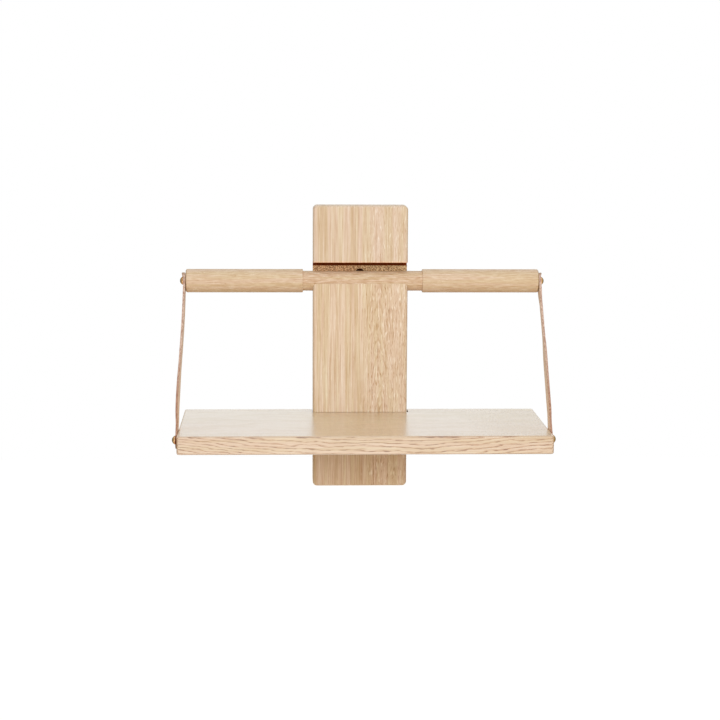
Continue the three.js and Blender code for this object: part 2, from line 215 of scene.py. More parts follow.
class Tree:
    """A node tree being made. Every node in it comes from add()."""

    def __init__(self, tree):
        self.tree = tree

    def add(self, kind, settings=None, inputs=None, output=0):
        """A node's output, once its settings (a ramp's stops among them) and then its sockets are set."""
        node = self.tree.nodes.new(kind)
        for key, setting in (settings or {}).items():
            if key == "stops":
                set_stops(node.color_ramp, setting)
            else:
                setattr(node, key, setting)
        for key, given in (inputs or {}).items():
            if isinstance(given, Value):
                self.tree.links.new(given.socket, node.inputs[key])
            else:
                node.inputs[key].default_value = given
        return Value(self, node.outputs[output]) if node.outputs else None

    def math(self, operation, *values):
        return self.add("ShaderNodeMath", {"operation": operation}, dict(enumerate(values)))

    def vector(self, x, y, z):
        return self.add("ShaderNodeCombineXYZ", None, {0: x, 1: y, 2: z})

    def parts(self, vector):
        first = self.add("ShaderNodeSeparateXYZ", None, {0: vector})
        return [Value(self, output) for output in first.socket.node.outputs]

    def length(self, first, second):
        return self.math("SQRT", first * first + second * second)

    def smooth(self, value, low, high):
        """0 below low, 1 above high and smooth between them."""
        inputs = {"Value": value, "From Min": low, "From Max": high}
        return self.add("ShaderNodeMapRange", {"interpolation_type": "SMOOTHSTEP"}, inputs)

    def fade(self, value, low, high):
        """1 below low, 0 above high and smooth between them."""
        return 1 - self.smooth(value, low, high)


def set_stops(ramp, stops):
    """Gives a colour ramp its stops, each a place and a colour."""
    while len(ramp.elements) < len(stops):
        ramp.elements.new(1.0)
    for element, (place, tone) in zip(ramp.elements, stops):
        element.position = place
        element.color = tone


# Finishes


def colour(red, green, blue):
    """A colour in sRGB steps of 0 to 255, as a shader wants it."""

    def linear(step):
        share = step / 255
        return share / 12.92 if share <= 0.04045 else ((share + 0.055) / 1.055) ** 2.4

    return (linear(red), linear(green), linear(blue), 1.0)


class Finish(Tree):
    """A material being made."""

    def __init__(self, name):
        self.material = bpy.data.materials.new(name)
        self.material.use_nodes = True
        super().__init__(self.material.node_tree)
        self.tree.nodes.clear()

    def place_mm(self):
        """Object coordinates in millimetres, as three numbers."""
        spot = self.add("ShaderNodeTexCoord", output="Object")
        return [axis * (1 / MM) for axis in self.parts(spot)]

    def attribute(self, name, output):
        return self.add("ShaderNodeAttribute", {"attribute_name": name}, output=output)

    def noise(self, vector, detail=2.0, roughness=0.5):
        """Smooth noise about 0, mostly within -0.5 and 0.5."""
        inputs = {"Vector": vector, "Scale": 1.0, "Detail": detail, "Roughness": roughness}
        return self.add("ShaderNodeTexNoise", None, inputs) - 0.5

    def ramp(self, value, stops):
        return self.add("ShaderNodeValToRGB", {"stops": stops}, {"Fac": value})

    def mix(self, share, first, second, blend="MIX"):
        """first where share is 0 and second, or a blend with it, where share is 1."""
        settings = {"data_type": "RGBA", "blend_type": blend}
        return self.add("ShaderNodeMix", settings, {0: share, 6: first, 7: second}, output=2)

    def surface(self, varying, height_mm, **constants):
        """Adds the shader, its bump and the output."""
        bump = self.add("ShaderNodeBump", None, {"Height": height_mm, "Distance": MM, "Strength": 1.0})
        inputs = {**constants, **varying, "Normal": bump}
        shader = self.add("ShaderNodeBsdfPrincipled", None, inputs)
        self.add("ShaderNodeOutputMaterial", None, {"Surface": shader})
        return self.material


DARK_WOOD = colour(142, 97, 64)
BROWN_WOOD = colour(188, 147, 113)
TAN_WOOD = colour(210, 179, 148)
PALE_WOOD = colour(225, 200, 174)
LIGHT_WOOD = colour(242, 226, 207)
YELLOWED = (0.965, 0.985, 0.9, 1.0)
# Painted shade for rounded edges
EDGE_SHADE_TINT = (0.84, 0.8, 0.75, 1.0)
# Painted light for the shelf's top face, towards its back and its front
TOP_REAR_LIGHT_TINT = (0.98, 1.02, 0.88, 1.0)
TOP_FRONT_LIGHT_TINT = (0.98, 0.96, 0.84, 1.0)
# Painted shade for the shelf's top in the corner under the back board
CORNER_SHADE_TINT = (0.82, 0.76, 0.76, 1.0)
# Painted shade for the rod's neck, which sits in the groove
NECK_SHADE_TINT = (0.965, 0.93, 0.9, 1.0)
END_TINT = (0.74, 0.66, 0.54, 1.0)
# End grain's darker colour, deepened as painted shade of the gap beside each strap
ROD_END_GRAIN_AND_SHADE_TINT = (0.58, 0.48, 0.36, 1.0)
# Dark end grain with painted shade, for the notch's sides
NOTCH_GRAIN_AND_SHADE_BROWN = colour(96, 66, 40)
WOOD_STOPS = ((0, DARK_WOOD), (0.2, BROWN_WOOD), (0.45, TAN_WOOD), (0.68, PALE_WOOD), (1, LIGHT_WOOD))
# Paler wood as painted light on the shelf's top face
TOP_FACE_LIGHT_STOPS = ((0.3, TAN_WOOD), (0.9, LIGHT_WOOD))


class Oak(Finish):
    """Oiled oak. axes are the grain's, the width's and the depth's. heart is where the middle of the tree
    lies across and in depth, in millimetres, and lean is how far it moves per millimetre along the grain."""

    def __init__(self, name, axes, heart, lean, ring_width):
        super().__init__(name)
        self.place = self.place_mm()
        self.along, self.across, self.depth = (self.place[axis] for axis in axes)
        self.heart = heart
        self.lean = lean
        self.ring_width = ring_width

    def grain_noise(self, across_scale, along_scale, detail=2.0, sway=0.0):
        """Noise drawn out along the grain; both scales are per millimetre. sway moves it across."""
        across = (self.across + sway) * across_scale
        return self.noise(self.vector(across, self.depth * across_scale, self.along * along_scale), detail)

    def pore_lines(self, bend=0.0, dash_scale=0.06):
        """The dark pores of each year's first wood, broken into dashes. bend moves the rings outwards."""
        wander = self.grain_noise(0.022, 0.005) * 9
        ripple = self.grain_noise(0.13, 0.035) * 2.4
        aside = self.across - self.along * self.lean[0] - self.heart[0]
        behind = self.depth - self.along * self.lean[1] - self.heart[1]
        radius = self.length(aside, behind) + wander + ripple + bend
        ring = self.math("FRACT", radius / self.ring_width)
        line = self.fade(ring, 0.06, 0.4) + self.smooth(ring, 0.88, 1.0)
        return line * (0.3 + 0.7 * self.smooth(self.grain_noise(1.0, dash_scale), -0.1, 0.1))

    def flecks(self, across_scale, along_scale, sway=0.0):
        """Pale dashes where the wood's rays are cut."""
        return self.smooth(self.grain_noise(across_scale, along_scale, 1, sway), 0.07, 0.2)

    def done(self, share, paint, roughness, **constants):
        """The finished material. share is how light the wood is, about 0.6 on average. paint makes of its
        colour and roughness what varies over the surface."""
        fibre = self.grain_noise(2.4, 0.04)
        light = share + fibre * 0.4
        tone = self.ramp(light, WOOD_STOPS)
        yellow = self.smooth(self.grain_noise(0.22, 0.008), -0.12, 0.12)
        tone = self.mix(yellow, tone, YELLOWED, "MULTIPLY")
        gloss = roughness - (share - 0.6) * 0.1
        return self.surface(paint(self, tone, gloss), light * 0.05, **constants)


def board_wood():
    """Straight fine lines on the left and a narrow flame figure on the right."""
    wood = Oak("oak_board", axes=(2, 0, 1), heart=(20, -11), lean=(0.0, 0.075), ring_width=1.7)
    streak = wood.grain_noise(0.75, 0.018, detail=3)
    broad = wood.grain_noise(0.07, 0.004, detail=1)
    sway = wood.grain_noise(0.1, 0.06) * 5
    dash = wood.smooth(wood.grain_noise(1.2, 0.11, 2, sway), 0.05, 0.18)
    hairline = wood.smooth(wood.grain_noise(1.1, 0.02, detail=1), 0.16, 0.26)
    wander = wood.grain_noise(0.09, 0.02) * 26
    upper = wood.smooth(wood.along, 70, 120)
    figured = (0.22 + 0.78 * wood.smooth(wood.across + wander, 0, 16)) * (1 - upper * 0.45)
    calm = 1.15 - figured * 0.3 - upper * 0.2
    share = 0.67 + streak * calm + broad * 0.3 - wood.pore_lines() * 0.24 * figured
    share = share + (wood.flecks(1.0, 0.1, sway) * 0.44 - dash * 0.4) * figured - hairline * 0.3
    return wood.done(share, board_marks, roughness=0.45, IOR=1.38)


def rod_wood():
    """Short dashes and flecks, bolder on the neck, and a few pin knots."""
    wood = Oak("oak_rod", axes=(0, 1, 2), heart=(-40, 50), lean=(0.01, 0.02), ring_width=3.0)
    streak = wood.grain_noise(0.85, 0.1, detail=3)
    broad = wood.grain_noise(0.07, 0.008, detail=1)
    dash = wood.smooth(wood.grain_noise(0.8, 0.15), 0.08, 0.2)
    knot = wood.smooth(wood.grain_noise(0.34, 0.2, detail=0), 0.26, 0.38)
    bolder = 1 + rod_neck(wood) * 0.6
    share = 0.6 + streak * 0.86 * bolder + broad * 0.04 - wood.pore_lines() * 0.14 - knot * 0.2
    share = share + (wood.flecks(0.8, 0.15) * 0.3 - dash * 0.3) * bolder
    return wood.done(share, rod_marks, roughness=0.5, IOR=1.35)


def from_rod_middle(wood):
    """How far along the rod a point is from its middle, in millimetres."""
    return wood.math("ABSOLUTE", wood.along - ROD_CENTRE_X / MM)


def rod_neck(wood):
    """1 on the rod's thinner middle."""
    shoulder = ROD_NECK_LENGTH / 2 / MM
    return wood.fade(from_rod_middle(wood), shoulder - 0.5, shoulder + 0.5)


def rod_marks(wood, tone, gloss):
    """Painted shade on the neck, where it sits in the groove, and end grain, which soaks up more oil and is
    darker still and also carries painted shade of the gap beside each strap.
    """
    # Painted shade: the neck is darker and yellower
    tone = wood.mix(rod_neck(wood), tone, NECK_SHADE_TINT, "MULTIPLY")
    # End grain, darker, partly as painted shade of the gap between the rod's end and its strap
    rod_end = ROD_HALF_LENGTH / MM
    end = wood.smooth(from_rod_middle(wood), rod_end - 1.5, rod_end - 0.3)
    return {"Base Color": wood.mix(end, tone, ROD_END_GRAIN_AND_SHADE_TINT, "MULTIPLY"), "Roughness": gloss}


def shelf_wood():
    """Lines that run slantwise across the front edge's left end and nearly level elsewhere."""
    wood = Oak("oak_shelf", axes=(0, 1, 2), heart=(0, -150), lean=(0.0, 0.0), ring_width=1.3)
    streak = wood.grain_noise(0.85, 0.018, detail=3)
    broad = wood.grain_noise(0.04, 0.004, detail=1)
    bend = wood.smooth(wood.along, -215, -70) * 7 - wood.smooth(wood.along, 60, 220) * 3
    share = 0.59 + streak * 0.8 + broad * 0.2 - wood.pore_lines(bend, 0.11) * 0.64
    share = share + wood.smooth(wood.along, -150, -20) * 0.02
    coat = {"Coat Roughness": 0.28, "Coat IOR": 1.97}
    return wood.done(share, shelf_marks, roughness=0.22, IOR=1.8, **coat)


def shelf_marks(wood, tone, gloss):
    """Painted light on the top face, which is evener and paler, with painted shade in its corner under the
    back board, and less gloss at its right end; painted shade along the rounded front edges; dark end grain
    at the ends; and in the notch, end grain painted darker still as shade."""
    x, y, z = wood.place
    top, bottom, front = SHELF_HIGH.z / MM, SHELF_LOW.z / MM, SHELF_LOW.y / MM
    half_width, notch_side, notch_floor = SHELF_HALF_WIDTH / MM, NOTCH_HALF_WIDTH / MM, NOTCH_Y / MM
    from_middle = wood.math("ABSOLUTE", x - SHELF_CENTRE_X / MM)
    cloud = wood.noise(wood.vector(x * 0.022, y * 0.07, z * 0.1), detail=2)
    # Painted light: the top face is paler and evener, and tinted from its front to its back
    face = wood.smooth(z, top - 0.6, top - 0.1)
    even = wood.ramp(0.66 + cloud * 0.8, TOP_FACE_LIGHT_STOPS)
    tone = wood.mix(face * 0.45, tone, even)
    rearwards = wood.smooth(y, front + 20, front + 140)
    tone = wood.mix(face, tone, wood.mix(rearwards, TOP_FRONT_LIGHT_TINT, TOP_REAR_LIGHT_TINT), "MULTIPLY")
    # Painted shade on the top face in the corner under the back board
    under_board = wood.fade(from_middle, notch_side - 16, notch_side + 6)
    near_board = wood.smooth(y, notch_floor - 80, notch_floor)
    tone = wood.mix(face * under_board * near_board, tone, CORNER_SHADE_TINT, "MULTIPLY")
    # Painted shade along the shelf's rounded front edges, at the top and at the bottom
    ridge = wood.smooth(z, top - 1.9, top - 1.1) * wood.fade(y, front + 0.5, front + 1.6)
    foot = wood.fade(z, bottom + 0.7, bottom + 1.6) * wood.fade(y, front + 1, front + 2)
    tone = wood.mix(ridge + foot, tone, EDGE_SHADE_TINT, "MULTIPLY")
    end = wood.smooth(from_middle, half_width - 1.9, half_width - 0.7)
    tone = wood.mix(end * wood.fade(z, top - 2, top - 1), tone, END_TINT, "MULTIPLY")
    # The notch's sides are end grain, painted darker still as shade
    notch = wood.fade(from_middle, notch_side + 0.2, notch_side + 0.8)
    inside = notch * wood.smooth(y, notch_floor + 0.3, notch_floor + 0.9)
    inside = inside * wood.fade(z, top - 0.4, top - 0.1)
    tone = wood.mix(inside, tone, NOTCH_GRAIN_AND_SHADE_BROWN)
    worn = wood.smooth(x, 100, 185) * 0.34 + wood.smooth(cloud, -0.14, 0.16) * 0.3
    raw = wood.math("MAXIMUM", inside, end)
    gloss = wood.math("MAXIMUM", gloss, raw * 0.7)
    return {"Base Color": tone, "Roughness": gloss, "Coat Weight": (1 - raw) * (1 - worn)}


END_GRAIN_DARK = colour(140, 96, 56)
END_GRAIN_LIGHT = colour(252, 222, 172)
END_GRAIN_RED = (1.02, 0.92, 0.9, 1.0)
# Painted highlight for the groove's upper lip
LIP_HIGHLIGHT_TINT = (1.2, 0.98, 0.86, 1.0)
UPPER_TINT = (0.995, 1.01, 1.06, 1.0)
# Painted shade for the saw kerf
KERF_SHADE_BROWN = colour(142, 62, 12)
# Painted shade for the upper hole and its rim
HOLE_SHADE_BROWN = colour(64, 26, 4)


def board_marks(wood, tone, gloss):
    """Painted shade on the long edges, a paler front above the groove with a painted highlight on its lip,
    and raw
    wood in the groove: its end-grain back wall, the saw kerf above that, painted dark as shade, and the upper
    hole with its dark rim, painted as shade too."""
    x, y, z = wood.place
    side, face, behind = BOARD_HIGH.x / MM, BOARD_FACE_Y / MM, -KERF_WOOD_BEHIND / MM
    seat, floor, ceiling = ROD_CENTRE_Z / MM, KERF_FLOOR_Z / MM, GROOVE_CEILING_Z / MM
    mouth, rim = KERF_MOUTH_Y / MM, WALL_HEAD_DIAMETER / 2 / MM
    # Painted shade on the board's rounded long edges
    edge = wood.smooth(wood.math("ABSOLUTE", x), side - 3.2, side - 0.6)
    tone = wood.mix(edge, tone, EDGE_SHADE_TINT, "MULTIPLY")
    front = wood.fade(y, face + 3, face + 12)
    tone = wood.mix(front * wood.smooth(z, ceiling, ceiling + 1), tone, UPPER_TINT, "MULTIPLY")
    # Painted highlight: the upper lip's round is painted lighter and redder, where its lower half lies in
    # shade
    lip = front * wood.smooth(z, ceiling - 0.2, ceiling) * wood.fade(z, ceiling + 0.5, ceiling + 1.5)
    tone = wood.mix(lip, tone, LIP_HIGHLIGHT_TINT, "MULTIPLY")
    under_ceiling = wood.fade(z, ceiling + 0.1, ceiling + 0.3)
    deep = wood.smooth(y, face + 1, face + 3) * wood.fade(y, -1.6, -1.2)
    wall = deep * wood.smooth(z, seat, seat + 4) * under_ceiling
    speckle = wood.noise(wood.vector(x * 0.8, y * 0.8, z * 0.8), detail=3)
    end_grain = wood.mix(wood.smooth(speckle, -0.13, 0.13), END_GRAIN_DARK, END_GRAIN_LIGHT)
    end_grain = wood.mix(wood.fade(x, -15, 15), end_grain, END_GRAIN_RED, "MULTIPLY")
    tone = wood.mix(wall * 0.9, tone, end_grain)
    # Painted shade: the saw kerf under the ceiling is painted near black, darker than its light alone makes
    # it
    kerf = wood.smooth(y, mouth - 1.5, mouth) * wood.fade(y, behind + 0.2, behind + 0.4)
    kerf = kerf * wood.smooth(z, floor - 0.3, floor) * under_ceiling
    tone = wood.mix(kerf, tone, KERF_SHADE_BROWN)
    wall_y = GROOVE_FOOT_Y / MM - (z - GROOVE_FOOT_Z / MM) * math.tan(GROOVE_LEAN)
    # Painted shade: the upper hole and a thin rim round it on the back wall are painted dark
    hole = wood.fade(wood.length(x, z - UPPER_HOLE_Z / MM), rim + 0.4, rim + 0.6)
    hole = hole * wood.smooth(y - wall_y, -0.5, -0.2) * wood.fade(y, -0.6, -0.3)
    tone = wood.mix(hole, tone, HOLE_SHADE_BROWN)
    gloss = wood.math("MAXIMUM", gloss, wood.math("MAXIMUM", wall, hole) * 0.95)
    return {"Base Color": tone, "Roughness": gloss}


SMOOTH_LEATHER_STOPS = ((0.1, colour(190, 142, 106)), (0.9, colour(226, 188, 152)))
SUEDE_STOPS = ((0.1, colour(224, 191, 163)), (0.9, colour(248, 232, 212)))
CUT_EDGE_STOPS = ((0.1, colour(160, 118, 96)), (0.9, colour(236, 210, 192)))
# Painted light for the lower part of the suede face
LOW_SUEDE_LIGHT_TINT = (1.1, 1.06, 1.02, 1.0)
LOW_EDGE_TINT = (0.74, 0.6, 0.52, 1.0)
# Painted shade for the cut edge at the strap's tips
LOWER_TIP_SHADE_TINT = (0.42, 0.3, 0.24, 1.0)
UPPER_TIP_SHADE_TINT = (0.8, 0.8, 0.7, 1.0)


def leather():
    """Tan leather: a smooth outer face, a paler suede inner face with painted light lower down, and cut edges
    that darken downwards, with painted shade at both tips.
    """
    hide = Finish("leather")
    layer, across, run = hide.parts(hide.attribute("strap_place", "Vector"))
    x, y, z = hide.place_mm()
    whole_run, end_extra = STRAP_RUN / MM, STRAP_END_EXTRA / MM
    past_top = hide.math("MAXIMUM", -end_extra - run, 0)
    past_foot = hide.math("MAXIMUM", run - (whole_run + end_extra), 0)
    from_edge = STRAP_WIDTH / 2 / MM - hide.length(across, past_top + past_foot)
    rim = hide.fade(from_edge, 0.15, STRAP_EDGE_ROUND / MM + 0.15)
    outer = hide.smooth(layer, 0.9, 1.5)
    mottle = hide.noise(hide.vector(across * 0.12, run * 0.05, layer * 0.1), detail=3)
    pebble = hide.noise(hide.vector(x * 1.6, y * 1.6, z * 1.6), detail=3)
    nap = hide.noise(hide.vector(across * 2.2, run * 0.9, layer * 2.0), detail=2)
    fibre = hide.noise(hide.vector(across * 1.0, run * 0.6, layer * 2.2), detail=3)
    low = hide.smooth(run, whole_run * 0.4, whole_run * 0.85)
    # Painted shade at both tips of the strap
    lower_tip_shade = hide.smooth(run, whole_run - 2, whole_run + 5)
    upper_tip_shade = hide.fade(run, -7, -2)
    smooth_face = hide.ramp(0.5 + mottle * 0.9 + pebble * 0.5, SMOOTH_LEATHER_STOPS)
    suede_face = hide.ramp(0.5 + mottle * 0.7 + nap * 0.8, SUEDE_STOPS)
    cut_face = hide.ramp(0.5 + fibre * 2.6 + mottle * 0.5, CUT_EDGE_STOPS)
    # Painted light: the suede face is lighter lower down
    suede_face = hide.mix(low, suede_face, LOW_SUEDE_LIGHT_TINT, "MULTIPLY")
    # The cut edge darkens lower down, and painted shade darkens both tips
    for share, tint in ((low, LOW_EDGE_TINT), (lower_tip_shade, LOWER_TIP_SHADE_TINT), (upper_tip_shade, UPPER_TIP_SHADE_TINT)):
        cut_face = hide.mix(share, cut_face, tint, "MULTIPLY")
    tone = hide.mix(rim, hide.mix(outer, suede_face, smooth_face), cut_face)
    roughness = 0.8 - outer * 0.28 * (1 - rim) + nap * 0.1
    height = pebble * 0.05 + nap * 0.04 * (1 - outer) + fibre * 0.12 * rim
    return hide.surface({"Base Color": tone, "Roughness": roughness}, height, **{"Specular IOR Level": 0.15})


DOME_REACH_MM = SCREW_HEAD_DIAMETER / 2 / MM
# Olive crown of dulled brass that also stands in as painted reflection of dark surroundings, a bright ring
# that is a painted highlight, and a dark foot of painted shade and reflection of the leather
DOME_PATINA_AND_LIGHT_STOPS = (
    (0.0, colour(128, 108, 42)),
    (0.72, colour(124, 98, 42)),
    (0.86, colour(156, 118, 62)),
    (0.93, colour(252, 216, 170)),
    (0.97, colour(228, 172, 120)),
    (1.0, colour(118, 48, 10)),
)
DOME_SHEEN = colour(120, 100, 50)
INSERT_LIGHT = colour(188, 152, 90)
INSERT_DARK = colour(150, 118, 62)


def dome_brass():
    """Brass dulled to olive on top, its olive also a painted reflection of dark surroundings, with a painted
    highlight in a bright ring lower down and a dark foot of painted shade and reflection of the leather.
    """
    metal = Finish("brass")
    along, y, z = metal.parts(metal.attribute("screw_place", "Vector"))
    radius = metal.length(y, z)
    blotch = metal.noise(metal.vector(along * 0.5, y * 0.5, z * 0.5), detail=4)
    scratch = metal.noise(metal.vector(along * 3, y * 9, z * 0.8), detail=2)
    spread = radius * (1 / DOME_REACH_MM) + blotch * 0.2
    tone = metal.ramp(spread, DOME_PATINA_AND_LIGHT_STOPS)
    dull = metal.fade(spread, 0.7, 0.92)
    roughness = 0.24 + dull * 0.22 + scratch * 0.12
    varying = {"Base Color": tone, "Roughness": roughness, "Metallic": 1 - dull * 0.8}
    sheen = {"Specular Tint": DOME_SHEEN, "Specular IOR Level": 0.1}
    return metal.surface(varying, blotch * 0.01 + scratch * 0.008, **sheen)


def insert_brass():
    """Turned brass with fine tool rings along X."""
    metal = Finish("insert_brass")
    x, y, z = metal.place_mm()
    rings = metal.noise(metal.vector(x * 6, y * 0.05, z * 0.05), detail=2)
    blotch = metal.noise(metal.vector(x * 0.4, y * 0.4, z * 0.4), detail=3)
    tone = metal.mix(0.5 + blotch, INSERT_LIGHT, INSERT_DARK)
    roughness = 0.36 + rings * 0.2
    return metal.surface({"Base Color": tone, "Roughness": roughness}, rings * 0.02, Metallic=1.0)


# Meshes


def new_object(name, shape):
    """An object at the origin that holds a finished bmesh."""
    mesh = bpy.data.meshes.new(name)
    shape.to_mesh(mesh)
    shape.free()
    piece = bpy.data.objects.new(name, mesh)
    bpy.context.scene.collection.objects.link(piece)
    return piece


def applied(piece):
    """The piece with what its modifiers make as its plain mesh."""
    graph = bpy.context.evaluated_depsgraph_get()
    mesh = bpy.data.meshes.new_from_object(piece.evaluated_get(graph))
    piece.modifiers.clear()
    piece.data = mesh
    return piece


def cut(piece, cutters):
    """Takes the cutters out of the piece and removes them."""
    for cutter in cutters:
        taking = piece.modifiers.new("cut", "BOOLEAN")
        taking.operation = "DIFFERENCE"
        taking.solver = "EXACT"
        taking.object = cutter
    applied(piece)
    for cutter in cutters:
        bpy.data.objects.remove(cutter)
    return piece


def smoothed(piece):
    """Smooth shading on the rounds, with the flats kept flat."""
    shape = bmesh.new()
    shape.from_mesh(piece.data)
    bmesh.ops.remove_doubles(shape, verts=shape.verts, dist=MERGE_REACH)
    bmesh.ops.recalc_face_normals(shape, faces=shape.faces)
    shape.to_mesh(piece.data)
    shape.free()
    piece.data.shade_smooth()
    piece.data.set_sharp_from_angle(angle=CREASE_ANGLE)
    flats = piece.modifiers.new("flats", "WEIGHTED_NORMAL")
    flats.keep_sharp = True
    return applied(piece)


def corner(x, y, radius, first_quarter, hollow=False, x_share=1.0):
    """A rounded corner of an outline: the middle of its arc and the quarter turn where the arc starts.
    x_share is how much of the inset reaches the side that faces along X."""
    return (x, y, radius, first_quarter, hollow, x_share)


def outline(corners, inset):
    """The points of an outline of rounded corners, drawn in by inset."""
    points = []
    for x, y, radius, first_quarter, hollow, x_share in corners:
        turn = -1 if hollow else 1
        x_reach, y_reach = radius - turn * inset * x_share, radius - turn * inset
        for step in range(ROUND_STEPS + 1):
            angle = QUARTER_TURN * (first_quarter + turn * step / ROUND_STEPS)
            points.append((x + x_reach * math.cos(angle), y + y_reach * math.sin(angle)))
    return points


def rounded_plate(corners, thickness, low_round, high_round):
    """A plate of that outline from height 0 to its thickness, with rounded edges."""
    angles = [QUARTER_TURN * step / ROUND_STEPS for step in range(ROUND_STEPS + 1)]
    levels = [(low_round * (1 - math.sin(angle)), low_round * (1 - math.cos(angle))) for angle in angles]
    for angle in angles:
        levels.append((high_round * (1 - math.cos(angle)), thickness - high_round * (1 - math.sin(angle))))
    return stacked([[(x, y, z) for x, y in outline(corners, inset)] for inset, z in levels])


def stacked(levels):
    """A closed body of rings of equally many points, with a flat face on the first and the last."""
    shape = bmesh.new()
    rings = [[shape.verts.new(point) for point in level] for level in levels]
    join_rings(shape, rings)
    shape.faces.new(list(reversed(rings[0])))
    shape.faces.new(rings[-1])
    return shape


def join_rings(shape, rings):
    """Faces between rings of equally many points. A ring of one point is a pole."""
    for lower, upper in zip(rings, rings[1:]):
        count = max(len(lower), len(upper))
        for index in range(count):
            after = (index + 1) % count
            if len(lower) == 1:
                shape.faces.new((lower[0], upper[after], upper[index]))
            elif len(upper) == 1:
                shape.faces.new((lower[index], lower[after], upper[0]))
            else:
                shape.faces.new((lower[index], lower[after], upper[after], upper[index]))


def turned(points, steps):
    """A body turned about X from points of (radius, place along X), which start and end on the axis."""
    shape = bmesh.new()
    rings = []
    for radius, place in points:
        count = 1 if radius == 0 else steps
        ring = []
        for step in range(count):
            angle = 2 * math.pi * step / steps
            ring.append(shape.verts.new((place, radius * math.cos(angle), radius * math.sin(angle))))
        rings.append(ring)
    join_rings(shape, rings)
    bmesh.ops.recalc_face_normals(shape, faces=shape.faces)
    return shape


def extruded(points, length):
    """A closed prism of an outline in Y and Z that runs along X, half to each side."""
    shape = stacked([[(x, y, z) for y, z in points] for x in (-length / 2, length / 2)])
    bmesh.ops.recalc_face_normals(shape, faces=shape.faces)
    return shape


def moved(shape, matrix):
    bmesh.ops.transform(shape, matrix=matrix, verts=shape.verts)
    return shape


def arc(x, y, radius, first_angle, last_angle, steps=ROUND_STEPS):
    """Points on an arc, both ends included."""
    points = []
    for step in range(steps + 1):
        angle = first_angle + (last_angle - first_angle) * step / steps
        points.append((x + radius * math.cos(angle), y + radius * math.sin(angle)))
    return points


def cylinder(radius, low, high):
    """A plain cylinder about the X axis."""
    return turned([(0, low), (radius, low), (radius, high), (0, high)], SMALL_TURNED_STEPS)


def drill(diameter, from_y, to_y, x, z):
    """A cutter along Y."""
    shape = cylinder(diameter / 2, 0, abs(to_y - from_y))
    place = Matrix.Translation((x, min(from_y, to_y), z)) @ Matrix.Rotation(QUARTER_TURN, 4, "Z")
    return new_object("drill", moved(shape, place))


def bore(from_x, to_x, radius, y, z):
    """A cutter along X."""
    return new_object("bore", moved(cylinder(radius, from_x, to_x), Matrix.Translation((0, y, z))))


# Back board


def groove_cutter():
    """The rod's groove, with the saw kerf under its ceiling and room for a small round on its upper lip."""
    outside = BOARD_FACE_Y - CUT_OVERRUN
    lip_drop = math.sqrt(SEAT_RADIUS**2 - (ROD_CENTRE_Y - BOARD_FACE_Y) ** 2)
    lip_angle = math.atan2(-lip_drop, BOARD_FACE_Y - ROD_CENTRE_Y)
    seat = arc(ROD_CENTRE_Y, ROD_CENTRE_Z, SEAT_RADIUS, lip_angle, GROOVE_LEAN, SEAT_STEPS)
    kerf = [
        (KERF_MOUTH_Y, KERF_FLOOR_Z),
        (-KERF_WOOD_BEHIND, KERF_FLOOR_Z),
        (-KERF_WOOD_BEHIND, GROOVE_CEILING_Z),
    ]
    lip = arc(
        BOARD_FACE_Y + LIP_ROUND, GROOVE_CEILING_Z + LIP_ROUND, LIP_ROUND, -QUARTER_TURN, -2 * QUARTER_TURN
    )
    points = [(outside, ROD_CENTRE_Z - lip_drop)] + seat + kerf + lip
    points.append((outside, GROOVE_CEILING_Z + LIP_ROUND))
    return new_object("groove", extruded(points, BOARD_CUT_LENGTH))


def housing_cutter():
    """The shallow slot that the shelf's notch rests in."""
    top = SHELF_HIGH.z + HOUSING_GAP
    bottom = SHELF_LOW.z - HOUSING_GAP
    outside = BOARD_FACE_Y - CUT_OVERRUN
    points = [
        (HOUSING_FLOOR_Y, bottom),
        (HOUSING_FLOOR_Y, top),
        (BOARD_FACE_Y + HOUSING_CHAMFER, top),
        (outside, top + HOUSING_CHAMFER + CUT_OVERRUN),
        (outside, bottom),
    ]
    return new_object("housing", extruded(points, BOARD_CUT_LENGTH))


def back_board():
    half_width, half_height = BOARD_HIGH.x, BOARD_HIGH.z
    x, z, r = half_width - BOARD_CORNER_RADIUS, half_height - BOARD_CORNER_RADIUS, BOARD_CORNER_RADIUS
    corners = [corner(x, z, r, 0), corner(-x, z, r, 1), corner(-x, -z, r, 2), corner(x, -z, r, 3)]
    plate = rounded_plate(corners, -BOARD_FACE_Y, BOARD_BACK_ROUND, BOARD_FRONT_ROUND)
    upright = Matrix.Rotation(QUARTER_TURN, 4, "X")
    board = new_object("back_board_oak", moved(plate, upright))
    cutters = [
        groove_cutter(),
        housing_cutter(),
        drill(WALL_HOLE_DIAMETER, ROD_CENTRE_Y, CUT_OVERRUN, 0, UPPER_HOLE_Z),
        drill(WALL_HEAD_DIAMETER, ROD_CENTRE_Y, -UPPER_HEAD_FLOOR, 0, UPPER_HOLE_Z),
        drill(WALL_HOLE_DIAMETER, BOARD_FACE_Y, CUT_OVERRUN, 0, SHELF_MIDDLE_Z),
        drill(WALL_HEAD_DIAMETER, BOARD_FACE_Y, HOUSING_FLOOR_Y + LOWER_HEAD_DEPTH, 0, SHELF_MIDDLE_Z),
    ]
    return smoothed(cut(board, cutters))


# Rod


